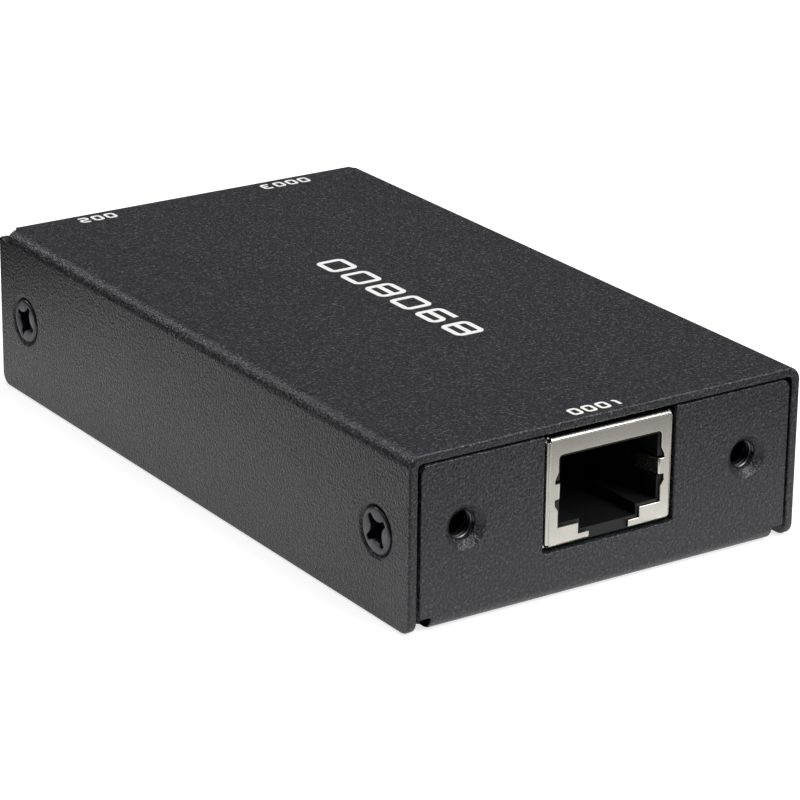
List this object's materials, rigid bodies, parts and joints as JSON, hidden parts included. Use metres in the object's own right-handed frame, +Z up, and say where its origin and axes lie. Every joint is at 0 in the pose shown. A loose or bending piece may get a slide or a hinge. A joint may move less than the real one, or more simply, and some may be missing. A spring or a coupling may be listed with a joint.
{
  "type": "kvm dongle",
  "caption": "Small flat sheet-steel box with a shielded network jack in one end, a video port and a data port in the other, and tapped holes beside the jack.",
  "frame": {"origin": "middle of the underside, at the level of the tray floor's underside", "axes": "+X to the right when the end with the network jack faces the viewer, +Y towards the end with the two rear ports, +Z up through the cover's top"},
  "size_m": [0.048, 0.084, 0.0188],
  "materials": {
    "powder_coated_steel": "fine-textured matt charcoal powder coat",
    "blackened_screws": "black-oxide steel, semi-gloss",
    "plated_shield": "matt nickel-plated sheet",
    "black_plastic": "matt moulded thermoplastic",
    "gold_contacts": "thin gold plating",
    "board_laminate": "green solder mask over glass laminate",
    "brass_standoffs": "turned brass",
    "zinc_screws": "bright zinc-plated steel",
    "moulded_black": "matt moulded epoxy",
    "ferrite": "pressed ferrite",
    "capacitor_cans": "drawn aluminium cans",
    "ceramic_chips": "fired ceramic chips"
  },
  "bodies": {
    "root": {"base_tray": "powder_coated_steel", "board_standoff_front_left": "brass_standoffs", "board_standoff_front_right": "brass_standoffs", "board_standoff_rear_left": "brass_standoffs", "board_standoff_rear_right": "brass_standoffs", "main_board": "board_laminate", "board_screw_front_left": "zinc_screws", "board_screw_front_right": "zinc_screws", "board_screw_rear_left": "zinc_screws", "board_screw_rear_right": "zinc_screws", "network_jack_shell": "plated_shield", "network_jack_housing": "black_plastic", "network_jack_contacts": "gold_contacts", "video_port_shell": "plated_shield", "video_port_insert": "black_plastic", "video_port_contacts": "gold_contacts", "data_port_shell": "plated_shield", "data_port_insert": "black_plastic", "data_port_contacts": "gold_contacts", "network_transformer": "moulded_black", "video_chip": "moulded_black", "network_chip": "moulded_black", "memory_chip": "moulded_black", "crystal": "plated_shield", "voltage_regulator": "moulded_black", "power_inductor": "ferrite", "filter_capacitors": "capacitor_cans", "chip_parts": "ceramic_chips", "top_cover": "powder_coated_steel", "cover_screw_front_left": "blackened_screws", "cover_screw_front_right": "blackened_screws", "cover_screw_rear_left": "blackened_screws", "cover_screw_rear_right": "blackened_screws"}
  },
  "joints": []
}
